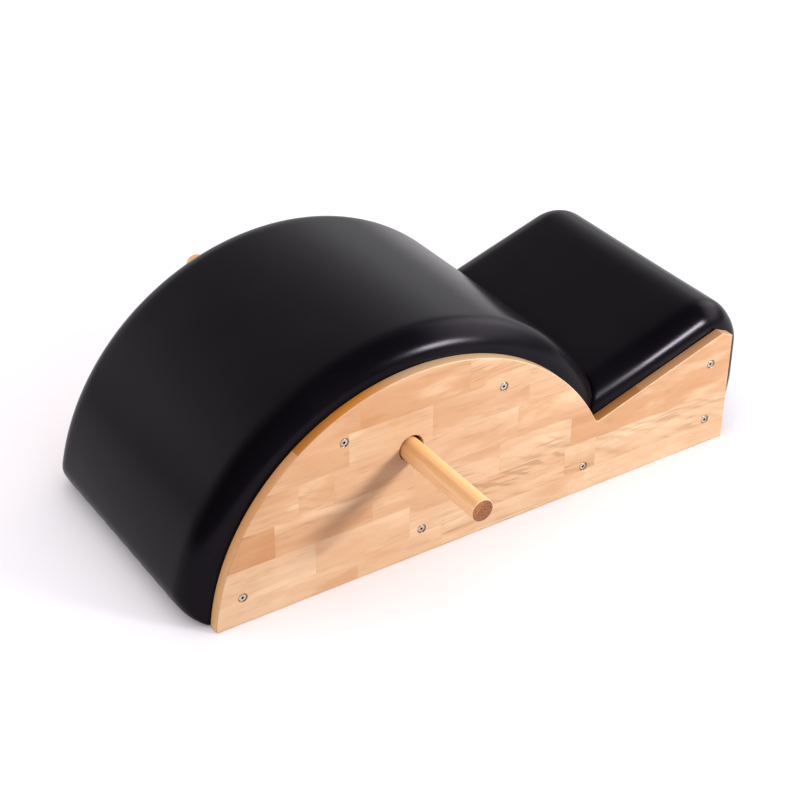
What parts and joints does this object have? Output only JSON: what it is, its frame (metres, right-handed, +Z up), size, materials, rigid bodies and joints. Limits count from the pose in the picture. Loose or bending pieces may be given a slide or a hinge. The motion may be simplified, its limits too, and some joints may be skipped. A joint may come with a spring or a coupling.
{
  "type": "spine corrector",
  "caption": "Padded half-round barrel with a lower sloping padded step, set between two wooden side panels, with a round wooden handle passing through both panels.",
  "frame": {"origin": "on the floor, midway along and across the object", "axes": "+X along the object from the barrel end to the step end, +Y along the handle from the near panel to the far one, +Z up"},
  "size_m": [0.9922, 0.82, 0.3549],
  "materials": {
    "panel_wood": "edge-glued rubberwood staves under a clear satin lacquer",
    "handle_wood": "light straight-grained hardwood, sanded and oiled",
    "rail_wood": "planed softwood, unfinished",
    "plywood": "sanded plywood, unfinished",
    "foam": "firm cream upholstery foam",
    "leather": "smooth black leather-like upholstery, semi-gloss",
    "bolt_steel": "plated steel with a hexagon socket",
    "cup_steel": "darkened steel"
  },
  "bodies": {
    "corrector": {"near_side_panel": "panel_wood", "far_side_panel": "panel_wood", "barrel_cover": "leather", "step_cover": "leather", "barrel_foam": "foam", "step_foam": "foam", "barrel_deck": "plywood", "step_deck": "plywood", "end_board": "plywood", "near_rib": "plywood", "centre_rib": "plywood", "far_rib": "plywood", "step_nosing": "rail_wood", "valley_batten": "rail_wood", "barrel_tack_strip": "rail_wood", "step_tack_strip": "rail_wood", "barrel_foot_rail": "rail_wood", "barrel_middle_rail": "rail_wood", "valley_rail": "rail_wood", "step_foot_rail": "rail_wood", "upper_foot_side_rail": "rail_wood", "upper_step_side_rail": "rail_wood", "step_head_rail": "rail_wood", "near_barrel_foot_bolt": "bolt_steel", "near_barrel_foot_cup_washer": "cup_steel", "near_barrel_middle_bolt": "bolt_steel", "near_barrel_middle_cup_washer": "cup_steel", "near_valley_bolt": "bolt_steel", "near_valley_cup_washer": "cup_steel", "near_step_foot_bolt": "bolt_steel", "near_step_foot_cup_washer": "cup_steel", "near_upper_foot_side_bolt": "bolt_steel", "near_upper_foot_side_cup_washer": "cup_steel", "near_upper_step_side_bolt": "bolt_steel", "near_upper_step_side_cup_washer": "cup_steel", "near_step_head_bolt": "bolt_steel", "near_step_head_cup_washer": "cup_steel", "far_barrel_foot_bolt": "bolt_steel", "far_barrel_foot_cup_washer": "cup_steel", "far_barrel_middle_bolt": "bolt_steel", "far_barrel_middle_cup_washer": "cup_steel", "far_valley_bolt": "bolt_steel", "far_valley_cup_washer": "cup_steel", "far_step_foot_bolt": "bolt_steel", "far_step_foot_cup_washer": "cup_steel", "far_upper_foot_side_bolt": "bolt_steel", "far_upper_foot_side_cup_washer": "cup_steel", "far_upper_step_side_bolt": "bolt_steel", "far_upper_step_side_cup_washer": "cup_steel", "far_step_head_bolt": "bolt_steel", "far_step_head_cup_washer": "cup_steel"},
    "handle": {"handle_rod": "handle_wood"}
  },
  "joints": [
    {"name": "handle_slide", "type": "slide", "parent": "corrector", "child": "handle", "axis": [0, 1, 0], "range_m": [-0.66, 0.66]}
  ]
}
